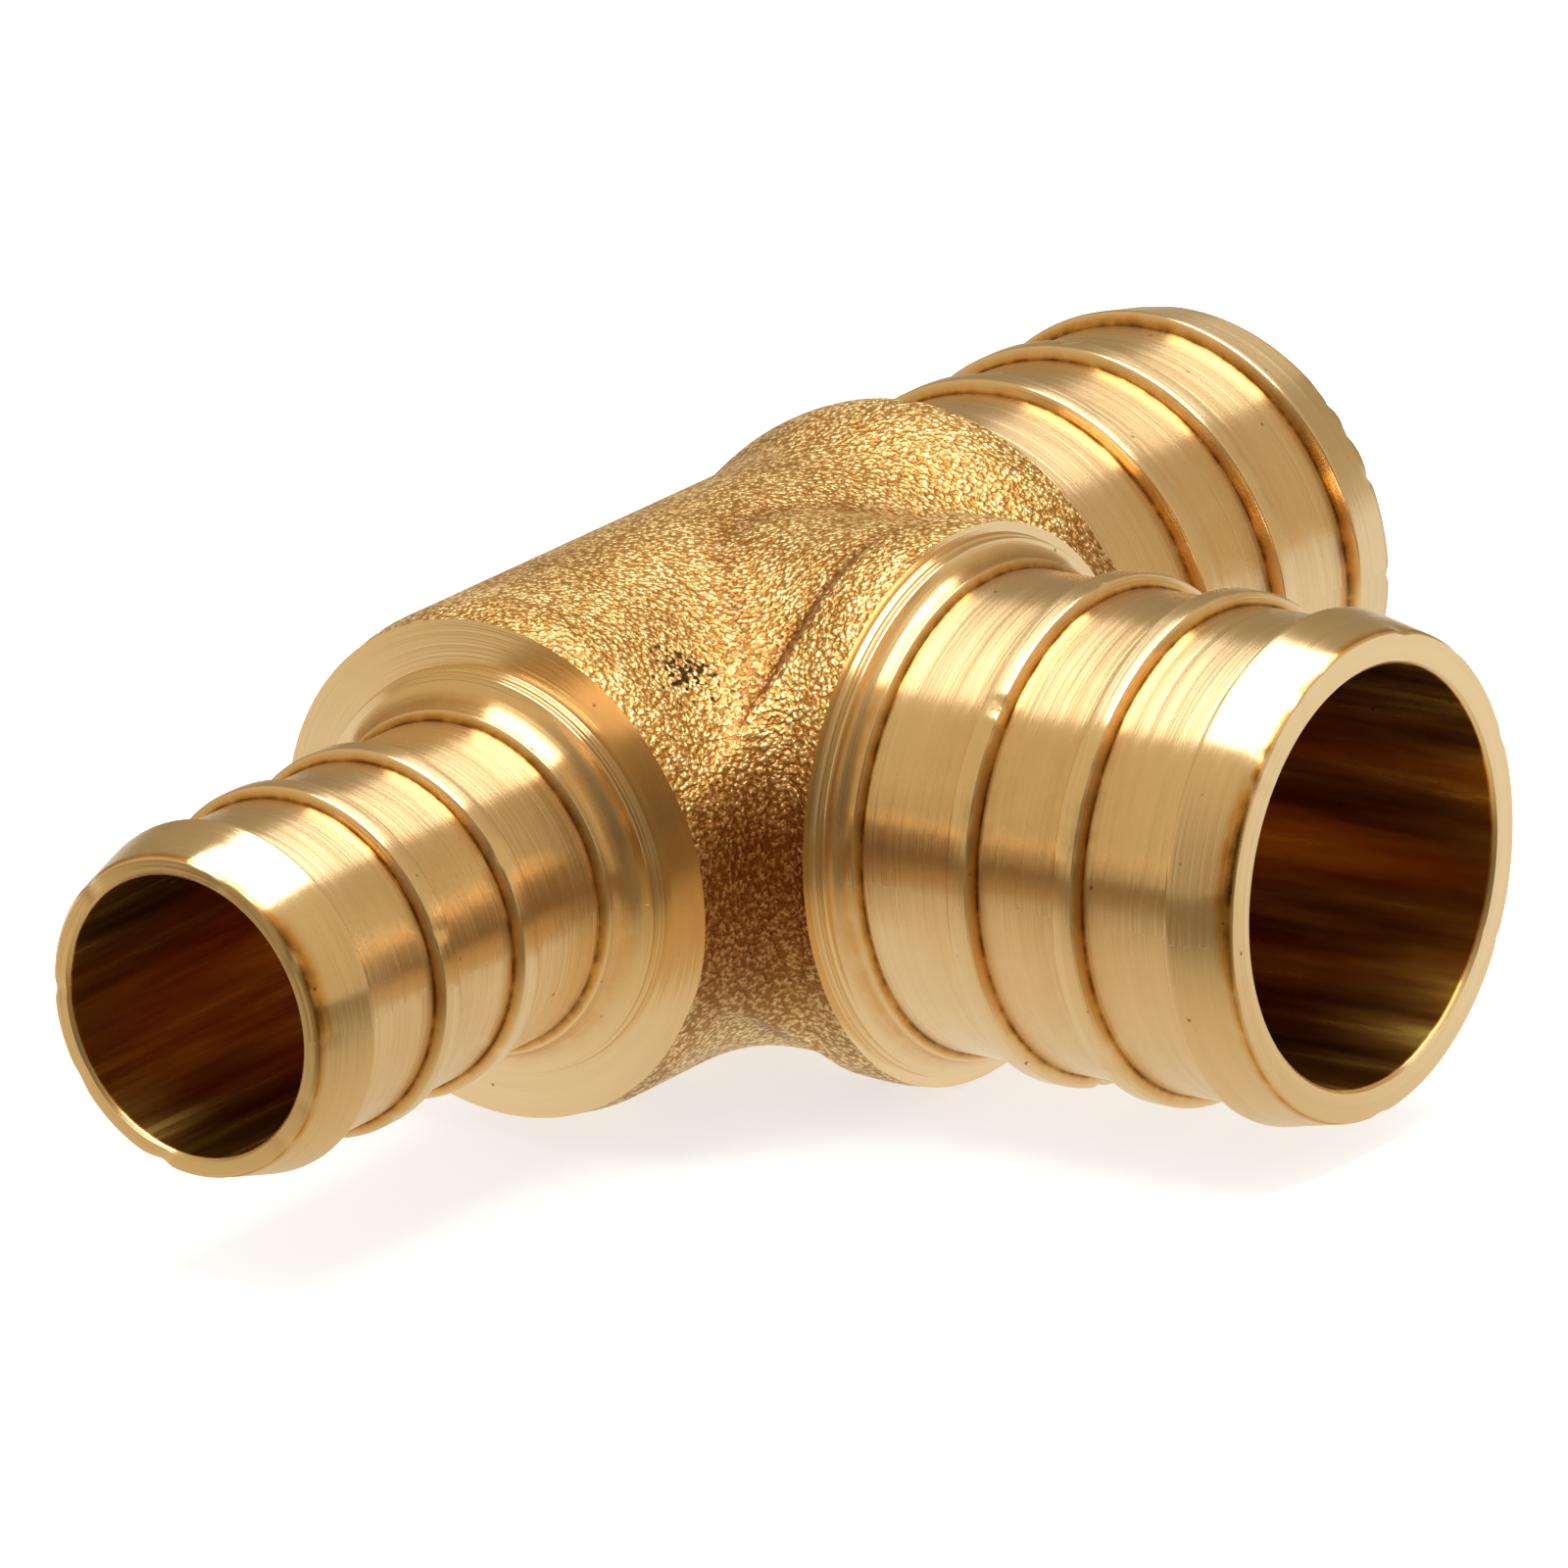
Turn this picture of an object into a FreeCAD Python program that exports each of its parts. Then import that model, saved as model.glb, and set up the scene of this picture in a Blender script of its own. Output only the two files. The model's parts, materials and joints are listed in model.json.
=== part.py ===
"""Barbed brass reducing tee, 3/4 x 1/2 x 3/4 in., as a parametric FreeCAD document.

One forging, bored and turned at its three ends. The run lies along X, with the small (1/2 in.)
spigot towards -X and a large (3/4 in.) one towards +X. The branch, also 3/4 in., points to -Y.
The origin is where the two axes cross, and +Z is square to both. Lengths are in millimetres.
"""

import FreeCAD, Part
import math
import os
import Sketcher

# The driving dimensions. Axial places are distances from the crossing of the axes, and the rib
# places are distances back from the end of the spigot. Radial sizes are radii.
SIZES = {
    # the forged body
    "run_skin": 8.73,
    "branch_root": 8.5,
    "branch_skin": 8.9,
    "seam_fillet": 2.0,
    "collar_foot": 8.5,
    "collar_skin": 9.5,
    "run_collar_start": 7.2,
    "branch_collar_start": 6.5,
    "collar_slope": 1.9,
    "collar_rounding": 0.1,
    "edge_rounding": 0.2,
    "edge_rounding_length": 0.8,
    # the small spigot
    "small_tip": 29.0,
    "small_shoulder": 12.62,
    "small_bore": 4.73,
    "small_face": 5.42,
    "small_crest": 5.97,
    "small_land": 5.57,
    "small_hub": 6.9,
    "small_cove": 0.95,
    "small_cove_land": 0.15,
    # the two large spigots
    "run_tip": 27.55,
    "run_shoulder": 11.48,
    "branch_tip": 26.35,
    "branch_shoulder": 10.28,
    "large_bore": 6.98,
    "large_face": 8.12,
    "large_crest": 8.55,
    "large_land": 8.14,
    "large_hub": 9.12,
    "large_cove": 0.64,
    "large_cove_land": 0.3,
    # what every spigot shares
    "edge_break": 0.1,
    "nose_length": 2.2,
    "nose_crest": 0.12,
    "flank": 0.12,
    "second_rib": 5.9,
    "third_rib": 10.2,
    "rib_crest": 0.75,
    "hub_step": 0.4,
    "hub_root": 1.5,
    # the waterways
    "mouth_break": 0.1,
    "run_bore_depth": 7.2,
    "drill_point": 1.35,
}

doc = FreeCAD.newDocument("reducing_tee")


def add_sheet():
    """The spreadsheet that holds every driving dimension, one aliased cell each."""
    sheet = doc.addObject("Spreadsheet::Sheet", "Sizes")
    for row, (alias, value) in enumerate(SIZES.items(), start=1):
        sheet.set(f"A{row}", alias)
        sheet.set(f"B{row}", str(value))
        sheet.setAlias(f"B{row}", alias)
    return sheet


class Length:
    """A sum of sheet cells, kept both as a number and as an expression for a constraint."""

    def __init__(self, *cells):
        self.value = 0.0
        terms = []
        for cell in cells:
            sign = "-" if cell.startswith("-") else "+"
            name = cell.lstrip("-")
            self.value += SIZES[name] if sign == "+" else -SIZES[name]
            terms.append(f"{sign} Sizes.{name}")
        self.expression = " ".join(terms).removeprefix("+ ")


def origin_feature(body, role):
    """The plane or axis of a body's own origin that has this role."""
    return next(feature for feature in body.Origin.OriginFeatures if feature.Role == role)


class Outline:
    """A closed sketch on one side of an axis, to be turned about that axis.

    Corners are given as (distance along the arm, radius), both Length sums or None for the axis.
    The arm points along +X, -X or -Y of the sketch plane, which is the body's XY plane.
    """

    def __init__(self, body, name, arm):
        self.sketch = body.newObject("Sketcher::SketchObject", name)
        self.sketch.AttachmentSupport = (origin_feature(body, "XY_Plane"), [""])
        self.sketch.MapMode = "FlatFace"
        self.arm = arm
        self.corners = []
        self.arcs = {}

    def corner(self, along, radius=None):
        """Adds a corner. Without a radius it lies on the axis."""
        self.corners.append((along, radius))

    def cove(self, along, radius, size):
        """Adds a corner that a concave quarter circle reaches from the corner before it."""
        self.arcs[len(self.corners) - 1] = size
        self.corner(along, radius)

    def place(self, along, radius):
        """Where a corner lies in the sketch plane."""
        out = along.value
        up = radius.value if radius else 0.0
        if self.arm == "+X":
            return FreeCAD.Vector(out, up, 0)
        if self.arm == "-X":
            return FreeCAD.Vector(-out, up, 0)
        return FreeCAD.Vector(up, -out, 0)

    def pin(self, geometry, point, along, radius):
        """Ties one end of a segment to its two lengths, measured from the sketch's origin."""
        axial, radial = ("DistanceY", "DistanceX") if self.arm == "-Y" else ("DistanceX", "DistanceY")
        self.distance(axial, geometry, point, along, backwards=self.arm != "+X")
        if radius:
            self.distance(radial, geometry, point, radius, backwards=False)
        else:
            self.sketch.addConstraint(Sketcher.Constraint("PointOnObject", geometry, point, self.axis()))

    def axis(self):
        """The sketch's own index of the axis that the outline is turned about."""
        return -2 if self.arm == "-Y" else -1

    def distance(self, kind, geometry, point, length, backwards):
        """One distance from the origin, bound to the sheet. It is positive in either direction."""
        ends = (geometry, point, -1, 1) if backwards else (-1, 1, geometry, point)
        if abs(length.value) < 1e-9:
            axis = -2 if kind == "DistanceX" else -1
            self.sketch.addConstraint(Sketcher.Constraint("PointOnObject", geometry, point, axis))
            return
        index = self.sketch.addConstraint(Sketcher.Constraint(kind, *ends, length.value))
        self.sketch.setExpression(f"Constraints[{index}]", length.expression)

    def close(self):
        """Draws the segments, joins them end to end and pins every corner."""
        places = [self.place(*corner) for corner in self.corners]
        following = places[1:] + places[:1]
        for number, (start, end) in enumerate(zip(places, following)):
            if number in self.arcs:
                self.sketch.addGeometry(self.quarter(number, start, end), False)
            else:
                self.sketch.addGeometry(Part.LineSegment(start, end), False)
        total = len(places)
        for number in range(total):
            first = self.start_of(number)
            before = (number - 1) % total
            self.sketch.addConstraint(
                Sketcher.Constraint("Coincident", before, self.end_of(before), number, first)
            )
        for number, (along, radius) in enumerate(self.corners):
            self.pin(number, self.start_of(number), along, radius)
        for number in self.arcs:
            self.hold_centre(number)
        return self.sketch

    def centre(self, number):
        """The centre of a cove: level with its start along the arm, and as far out as its end."""
        start, end = self.corners[number], self.corners[number + 1]
        return self.place(start[0], end[1])

    def quarter(self, number, start, end):
        """The quarter circle of a cove, drawn anticlockwise as the sketcher keeps its arcs."""
        centre = self.centre(number)
        circle = Part.Circle(centre, FreeCAD.Vector(0, 0, 1), self.arcs[number].value)
        angles = [math.atan2(p.y - centre.y, p.x - centre.x) for p in (start, end)]
        first, last = angles if self.anticlockwise(angles) else reversed(angles)
        return Part.ArcOfCircle(circle, first, last)

    @staticmethod
    def anticlockwise(angles):
        """Whether the short way from the first angle to the second is anticlockwise."""
        return (angles[1] - angles[0]) % (2 * math.pi) < math.pi

    def runs_backwards(self, number):
        """Whether a segment is an arc that the sketcher keeps from its end to its start."""
        if number not in self.arcs:
            return False
        centre = self.centre(number)
        ends = [self.place(*self.corners[k]) for k in (number, number + 1)]
        return not self.anticlockwise([math.atan2(p.y - centre.y, p.x - centre.x) for p in ends])

    def start_of(self, number):
        """The sketcher's number for the start of a segment."""
        return 2 if self.runs_backwards(number) else 1

    def end_of(self, number):
        """The sketcher's number for the end of a segment."""
        return 1 if self.runs_backwards(number) else 2

    def hold_centre(self, number):
        """Keeps a cove's centre level with its start, so that it leaves the spigot smoothly."""
        level = "Horizontal" if self.arm == "-Y" else "Vertical"
        self.sketch.addConstraint(Sketcher.Constraint(level, number, 3, number, self.start_of(number)))


def turn(body, name, outline, kind="PartDesign::Revolution"):
    """Turns a closed outline once round its axis, adding metal or cutting it away."""
    sketch = outline.close()
    sketch.Visibility = False
    feature = body.newObject(kind, name)
    feature.Profile = sketch
    feature.ReferenceAxis = (sketch, ["V_Axis" if outline.arm == "-Y" else "H_Axis"])
    feature.Angle = 360.0
    doc.recompute()
    return feature


def forged_run(body):
    """The run of the forging, from the small shoulder to the large one."""
    outline = Outline(body, "run_outline", "-X")
    outline.corner(Length("small_shoulder"))
    outline.corner(Length("small_shoulder"), Length("run_skin", "-edge_rounding"))
    outline.corner(Length("small_shoulder", "-edge_rounding_length"), Length("run_skin"))
    outline.corner(Length("-run_shoulder"), Length("run_skin"))
    outline.corner(Length("-run_shoulder"))
    return turn(body, "run", outline)


def forged_branch(body):
    """The branch of the forging, from the crossing to its shoulder, with the die's slight draft."""
    outline = Outline(body, "branch_outline", "-Y")
    outline.corner(Length())
    outline.corner(Length(), Length("branch_root"))
    outline.corner(Length("branch_shoulder"), Length("branch_skin"))
    outline.corner(Length("branch_shoulder"))
    return turn(body, "branch", outline)


def seam_edges(shape):
    """The names of the edges where the branch meets the run, which are neither circles nor lines."""
    plain = ("Part::GeomCircle", "Part::GeomLine")
    names = []
    for number, edge in enumerate(shape.Edges, start=1):
        if edge.Curve.TypeId not in plain:
            names.append(f"Edge{number}")
    return names


def soften_seam(body, branch):
    """The forging's fillet in the corner between the run and the branch."""
    fillet = body.newObject("PartDesign::Fillet", "seam")
    fillet.Base = (branch, seam_edges(branch.Shape))
    fillet.setExpression("Radius", "Sizes.seam_fillet")
    doc.recompute()
    return fillet


def forged_collar(body, arm, name):
    """The thicker collar behind a large shoulder, with its sloping front."""
    start, shoulder = f"{name}_collar_start", f"{name}_shoulder"
    outline = Outline(body, f"{name}_collar_outline", arm)
    outline.corner(Length(start))
    outline.corner(Length(start), Length("collar_foot"))
    outline.corner(Length(start, "collar_slope"), Length("collar_skin"))
    outline.corner(Length(shoulder, "-edge_rounding_length"), Length("collar_skin"))
    outline.corner(Length(shoulder), Length("collar_skin", "-collar_rounding"))
    outline.corner(Length(shoulder))
    return turn(body, f"{name}_collar", outline)


def ribs(outline, tip, size):
    """The nose and the two ribs behind it, from the end of the spigot inwards."""
    crest, land = Length(f"{size}_crest"), Length(f"{size}_land")
    nose_back = (tip, "-nose_length", "-nose_crest")
    outline.corner(Length(tip, "-nose_length"), crest)
    outline.corner(Length(*nose_back), crest)
    outline.corner(Length(*nose_back, "-flank"), land)
    for place in ("-second_rib", "-third_rib"):
        outline.corner(Length(tip, place, "flank"), land)
        outline.corner(Length(tip, place), crest)
        outline.corner(Length(tip, place, "-rib_crest"), crest)
        outline.corner(Length(tip, place, "-rib_crest", "-flank"), land)


def spigot(body, arm, name, size):
    """A turned spigot: end face, nose, two ribs and the cove that runs up to the shoulder's hub."""
    tip, shoulder, hub = f"{name}_tip", f"{name}_shoulder", f"{size}_hub"
    outline = Outline(body, f"{name}_spigot_outline", arm)
    outline.corner(Length(tip))
    outline.corner(Length(tip), Length(f"{size}_face", "-edge_break"))
    outline.corner(Length(tip, "-edge_break"), Length(f"{size}_face"))
    ribs(outline, tip, size)
    cove_foot = (shoulder, "hub_step", f"{size}_cove")
    outline.corner(Length(*cove_foot, f"{size}_cove_land", "flank"), Length(f"{size}_land"))
    outline.corner(Length(*cove_foot, f"{size}_cove_land"), Length(hub, f"-{size}_cove"))
    outline.corner(Length(*cove_foot), Length(hub, f"-{size}_cove"))
    outline.cove(Length(shoulder, "hub_step"), Length(hub), Length(f"{size}_cove"))
    outline.corner(Length(shoulder, "-hub_root"), Length(hub))
    outline.corner(Length(shoulder, "-hub_root"))
    return turn(body, f"{name}_spigot", outline)


def run_waterway(body):
    """The bore right through the run: large from +X, small from -X, with a drill point between."""
    outline = Outline(body, "run_waterway_outline", "-X")
    small, large = "small_bore", "large_bore"
    outline.corner(Length("small_tip"))
    outline.corner(Length("small_tip"), Length(small, "mouth_break"))
    outline.corner(Length("small_tip", "-mouth_break"), Length(small))
    outline.corner(Length("run_bore_depth", "drill_point"), Length(small))
    outline.corner(Length("run_bore_depth"), Length(large))
    outline.corner(Length("-run_tip", "mouth_break"), Length(large))
    outline.corner(Length("-run_tip"), Length(large, "mouth_break"))
    outline.corner(Length("-run_tip"))
    return turn(body, "run_waterway", outline, "PartDesign::Groove")


def branch_waterway(body):
    """The branch's bore, which opens into the large bore of the run."""
    outline = Outline(body, "branch_waterway_outline", "-Y")
    large = "large_bore"
    outline.corner(Length())
    outline.corner(Length(), Length(large))
    outline.corner(Length("branch_tip", "-mouth_break"), Length(large))
    outline.corner(Length("branch_tip"), Length(large, "mouth_break"))
    outline.corner(Length("branch_tip"))
    return turn(body, "branch_waterway", outline, "PartDesign::Groove")


def tee_body():
    """The whole forging: skin, collars, three turned spigots and the waterways through it."""
    body = doc.addObject("PartDesign::Body", "tee_body")
    body.Label = "tee_body"
    body.Placement = FreeCAD.Placement()
    forged_run(body)
    branch = forged_branch(body)
    soften_seam(body, branch)
    forged_collar(body, "+X", "run")
    forged_collar(body, "-Y", "branch")
    spigot(body, "-X", "small", "small")
    spigot(body, "+X", "run", "large")
    solid = spigot(body, "-Y", "branch", "large")
    for cut in (run_waterway, branch_waterway):
        bored = cut(body)
        removed = solid.Shape.Volume - bored.Shape.Volume
        if removed < 100.0:
            raise RuntimeError(f"{bored.Name} removes only {removed:.1f} mm3")
        solid = bored
    body.Tip = solid
    return body


def check(parts):
    """Stops on any failed object, and on a sub-part whose shape is missing or not valid."""
    for item in doc.Objects:
        if {"Invalid", "Error"} & set(item.State):
            raise RuntimeError(f"{item.Name} failed: {item.State}")
    for part in parts:
        if part.Shape.isNull() or not part.Shape.isValid():
            raise RuntimeError(f"{part.Label} has no valid shape")


add_sheet()
doc.recompute()
sub_parts = [tee_body()]
doc.recompute()
check(sub_parts)
os.makedirs("parts", exist_ok=True)
for sub_part in sub_parts:
    sub_part.Shape.exportStep(f"parts/{sub_part.Label}.step")
    box = sub_part.Shape.BoundBox
    print(sub_part.Label, f"{box.XLength:.2f} x {box.YLength:.2f} x {box.ZLength:.2f} mm,")
    print(f"{len(sub_part.Shape.Solids)} solid, {sub_part.Shape.Volume:.0f} mm3")
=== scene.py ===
"""The looks of a barbed brass reducing tee: one forging, turned and bored at its three ends.

The tee is built in millimetres as one closed mesh: a forged skin, three turned spigots joined to
it, and the waterways cut through it. It is then scaled to metres, where the CAD part already is.
"""

import json
import math

import bmesh
import bpy
import numpy as np
from mathutils import Matrix, Vector


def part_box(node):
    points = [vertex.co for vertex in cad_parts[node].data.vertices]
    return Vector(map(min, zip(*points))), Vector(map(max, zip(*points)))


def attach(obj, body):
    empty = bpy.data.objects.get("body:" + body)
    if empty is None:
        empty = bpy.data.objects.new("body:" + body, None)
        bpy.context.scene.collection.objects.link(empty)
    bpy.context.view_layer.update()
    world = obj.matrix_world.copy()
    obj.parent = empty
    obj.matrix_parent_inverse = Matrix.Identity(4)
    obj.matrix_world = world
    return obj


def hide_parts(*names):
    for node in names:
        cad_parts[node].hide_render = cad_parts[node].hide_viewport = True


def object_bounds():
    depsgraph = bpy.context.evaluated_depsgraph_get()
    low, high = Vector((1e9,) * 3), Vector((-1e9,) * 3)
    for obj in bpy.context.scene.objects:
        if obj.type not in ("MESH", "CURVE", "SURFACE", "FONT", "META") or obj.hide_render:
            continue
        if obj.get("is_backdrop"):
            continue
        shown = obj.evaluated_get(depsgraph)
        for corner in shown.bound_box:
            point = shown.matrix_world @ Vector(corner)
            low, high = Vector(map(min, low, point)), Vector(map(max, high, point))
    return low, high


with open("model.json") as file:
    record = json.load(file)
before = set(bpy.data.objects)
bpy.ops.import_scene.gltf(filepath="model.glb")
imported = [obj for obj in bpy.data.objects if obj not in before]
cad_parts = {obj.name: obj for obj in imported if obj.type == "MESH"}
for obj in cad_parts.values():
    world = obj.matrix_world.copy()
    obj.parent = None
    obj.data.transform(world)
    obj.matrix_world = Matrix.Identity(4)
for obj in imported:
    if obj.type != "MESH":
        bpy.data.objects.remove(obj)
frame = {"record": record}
cad_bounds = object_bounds()

MM = 0.001
MOUNTS = {mount["name"]: mount for mount in frame["record"]["mounts"]}
LOW, HIGH = (np.array(corner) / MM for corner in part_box("tee_body"))

# ---------------------------------------------------------------- sizes, in millimetres

RUN_TIP, SMALL_TIP, BRANCH_TIP = HIGH[0], -LOW[0], -LOW[1]


def mount_place(name):
    """How far a mount lies from the crossing of the axes."""
    return float(np.abs(np.array(MOUNTS[name]["pos_m"][:2])).max()) / MM


def mount_radius(name):
    """The radius that a round mount states."""
    return MOUNTS[name]["dims"]["r_mm"]


RUN_SHOULDER = mount_place("run_shoulder")
SMALL_SHOULDER = mount_place("small_shoulder")
BRANCH_SHOULDER = mount_place("branch_shoulder")
LARGE_BORE = mount_radius("branch_waterway")
SMALL_BORE = mount_radius("small_waterway")
LARGE_CREST = mount_radius("branch_tube_seat")
SMALL_CREST = mount_radius("small_tube_seat")
EDGE_BREAK = 0.1
RUN_BORE_END = MOUNTS["run_waterway"]["dims"]["length_mm"] - RUN_TIP + EDGE_BREAK
DRILL_HALF_ANGLE = math.radians(59)
DRILL_POINT = (LARGE_BORE - SMALL_BORE) / math.tan(DRILL_HALF_ANGLE)

# The forged skin: radii, and the stretches of an arm over which they rise.
RUN_SKIN = 8.73
RUN_COLLAR = 9.37
RUN_COLLAR_RISE = 6.4, 10.4
BRANCH_SKIN = 8.8
BRANCH_COLLAR = 9.5
BRANCH_ROOT_DROP, BRANCH_SWELL = 0.3, 0.2
CREASE = 7.85
CREASE_STEP, CREASE_HALF_WIDTH = 0.45, 0.4
SEAM_BLEND, LEAST_BLEND = 5.0, 0.05
SPARE_LENGTH = 1.5

# The spigots: radii, and places measured back from the end face.
LARGE_LAND, SMALL_LAND = 8.08, 5.58
LARGE_FACE, SMALL_FACE = 8.13, 5.42
LARGE_HUB, SMALL_HUB = 8.98, 6.86
LARGE_COVE, SMALL_COVE = 0.58, 0.95
NOSE_CREST, NOSE_FOOT = 2.2, 2.5
RIBS = ((6.0, 6.78), (10.2, 10.98))
COVE_FOOT = 14.68
RIB_FEET = (NOSE_FOOT, 5.86, 6.92, 10.06, 11.12, COVE_FOOT)

SKIN_PITCH = 0.27
SEGMENTS = 160

ARMS = {
    "+X": Matrix.Identity(4),
    "-X": Matrix.Rotation(math.pi, 4, "Z"),
    "-Y": Matrix.Rotation(-math.pi / 2, 4, "Z"),
}


# ---------------------------------------------------------------- mesh helpers


def new_object(name, vertices, faces):
    """A mesh object from plain lists or arrays."""
    mesh = bpy.data.meshes.new(name)
    mesh.from_pydata([tuple(map(float, v)) for v in vertices], [], faces)
    mesh.validate()
    thing = bpy.data.objects.new(name, mesh)
    bpy.context.scene.collection.objects.link(thing)
    return thing


def bake_modifiers(thing):
    """Replaces an object's mesh by what its modifiers make of it."""
    graph = bpy.context.evaluated_depsgraph_get()
    made = bpy.data.meshes.new_from_object(thing.evaluated_get(graph))
    old = thing.data
    thing.modifiers.clear()
    thing.data = made
    bpy.data.meshes.remove(old)


def combine(base, tool, operation):
    """Joins a tool to the base, or cuts it away, and removes the tool."""
    boolean = base.modifiers.new(operation, "BOOLEAN")
    boolean.operation = operation
    boolean.object = tool
    boolean.solver = "MANIFOLD"
    bake_modifiers(base)
    bpy.data.objects.remove(tool)


def read_points(mesh):
    """The vertices of a mesh as an array."""
    points = np.empty(len(mesh.vertices) * 3, np.float32)
    mesh.vertices.foreach_get("co", points)
    return points.reshape(-1, 3).astype(float)


def write_points(mesh, points):
    """Moves the vertices of a mesh."""
    mesh.vertices.foreach_set("co", points.astype(np.float32).ravel())
    mesh.update()


def soften(corners, steps=3):
    """A profile whose corners (along, radius, rounding) are rounded off by small arcs."""
    points = []
    count = len(corners)
    for number, (along, radius, rounding) in enumerate(corners):
        here = np.array([along, radius])
        if rounding == 0 or number in (0, count - 1):
            points.append(here)
            continue
        before = np.array(corners[number - 1][:2]) - here
        after = np.array(corners[number + 1][:2]) - here
        reach = min(rounding, 0.45 * np.linalg.norm(before), 0.45 * np.linalg.norm(after))
        start = here + before / np.linalg.norm(before) * reach
        end = here + after / np.linalg.norm(after) * reach
        for step in range(steps + 1):
            share = step / steps
            middle = 2 * share * (1 - share) * here
            points.append((1 - share) ** 2 * start + middle + share**2 * end)
    return points


KNOCK_SLANT = 0.35


def lathe(name, profile, arm, dents=()):
    """A closed solid turned about an arm's axis from (distance along the arm, radius) points.

    The profile starts and ends on the axis. Dents are (along, angle, size, depth) knocks in it.
    """
    angles = np.linspace(0, 2 * math.pi, SEGMENTS, endpoint=False)
    rings = [
        np.column_stack([np.full(SEGMENTS, x), r * np.cos(angles), r * np.sin(angles)])
        for x, r in profile[1:-1]
    ]
    points = np.vstack([[[profile[0][0], 0, 0]], *rings, [[profile[-1][0], 0, 0]]])
    for along, angle, size, depth in dents:
        _, radius = min(profile, key=lambda point: abs(point[0] - along))
        spot = np.array([along, radius * math.cos(angle), radius * math.sin(angle)])
        inwards = -np.array([KNOCK_SLANT * np.sign(along), math.cos(angle), math.sin(angle)])
        share = np.exp(-(((points - spot) / size) ** 2).sum(axis=1))
        points += depth * share[:, None] * inwards
    last = len(points) - 1
    faces = []
    for ring in range(len(rings) - 1):
        for k in range(SEGMENTS):
            a, b = 1 + ring * SEGMENTS + k, 1 + ring * SEGMENTS + (k + 1) % SEGMENTS
            faces.append((a, a + SEGMENTS, b + SEGMENTS, b))
    tail = last - SEGMENTS
    for k in range(SEGMENTS):
        following = (k + 1) % SEGMENTS
        faces.append((0, 1 + k, 1 + following))
        faces.append((last, tail + following, tail + k))
    thing = new_object(name, points, faces)
    thing.data.flip_normals()
    thing.data.transform(ARMS[arm])
    return thing


# ---------------------------------------------------------------- the forged skin


def smooth_rise(value, start, end):
    """0 before start, 1 after end, and a smooth rise between them."""
    share = np.clip((value - start) / (end - start), 0, 1)
    return share * share * (3 - 2 * share)


def run_radius(x):
    """The forged run's radius at x: a plain core, a collar at the large end, a worn small end."""
    collar = (RUN_COLLAR - RUN_SKIN) * smooth_rise(x, *RUN_COLLAR_RISE)
    small_end = 0.2 * smooth_rise(-x, SMALL_SHOULDER - 1.3, SMALL_SHOULDER + 0.2)
    large_end = 0.08 * smooth_rise(x, RUN_SHOULDER - 0.7, RUN_SHOULDER)
    return RUN_SKIN + collar - small_end - large_end


def branch_radius(y):
    """The forged branch's radius at y, with its collar. It fades into the run at the crossing."""
    reach = -y
    root = BRANCH_ROOT_DROP * (1 - smooth_rise(reach, 0, 4))
    core = BRANCH_SKIN - root + BRANCH_SWELL * smooth_rise(reach, 4, 6.9)
    step = CREASE_STEP * smooth_rise(reach, CREASE - CREASE_HALF_WIDTH, CREASE + CREASE_HALF_WIDTH)
    lip = BRANCH_COLLAR - BRANCH_SKIN - (BRANCH_SWELL + CREASE_STEP)
    collar = step + lip * smooth_rise(reach, CREASE + 0.2, 9.3)
    large_end = 0.06 * smooth_rise(reach, BRANCH_SHOULDER - 0.7, BRANCH_SHOULDER)
    return core + collar - large_end


def skin_field(points):
    """Distance from the forged skin: run and branch, blended where they meet at an angle.

    The blend fades out before the branch's shoulder, so that the turned ring there stays narrow.
    """
    x, y, z = points.T
    off_run = np.hypot(y, z) + 1e-9
    off_branch = np.hypot(x, z) + 1e-9
    run = off_run - run_radius(x)
    branch = np.maximum(off_branch - branch_radius(y), y)
    meeting = 1 - np.clip(z * z / (off_run * off_branch), 0, 1)
    width = SEAM_BLEND * meeting * (1 - 0.8 * smooth_rise(-y, 8.0, 10.2)) + LEAST_BLEND
    overlap = np.clip(width - np.abs(run - branch), 0, None) / width
    return np.minimum(run, branch) - overlap**2 * width / 4


def gradient(field, points, step=0.01):
    """The slope of a field by central differences."""
    slopes = []
    for axis in np.eye(3) * step:
        slopes.append((field(points + axis) - field(points - axis)) / (2 * step))
    return np.column_stack(slopes)


def neighbours_mean(mesh, points):
    """Each vertex's mean of the vertices that share an edge with it."""
    edges = np.empty(len(mesh.edges) * 2, np.int64)
    mesh.edges.foreach_get("vertices", edges)
    one, other = edges.reshape(-1, 2).T
    total = np.zeros_like(points)
    count = np.zeros(len(points))
    for a, b in ((one, other), (other, one)):
        np.add.at(total, a, points[b])
        np.add.at(count, a, 1)
    return total / count[:, None]


def forged_skin():
    """The forging's outside, a little longer than the shoulders that are turned on it."""
    ends = SMALL_SHOULDER + SPARE_LENGTH, RUN_SHOULDER + SPARE_LENGTH
    run = lathe("skin", [(-ends[0], 0), (-ends[0], 8.8), (ends[1], 8.8), (ends[1], 0)], "+X")
    reach = BRANCH_SHOULDER + SPARE_LENGTH
    branch = lathe("branch", [(0, 0), (0, 8.6), (reach, 8.6), (reach, 0)], "-Y")
    combine(run, branch, "UNION")
    remesh = run.modifiers.new("even", "REMESH")
    remesh.mode = "VOXEL"
    remesh.voxel_size = SKIN_PITCH
    bake_modifiers(run)
    settle(run.data, ends, reach)
    split_bends(run.data)
    settle(run.data, ends, reach)
    return run


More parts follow.
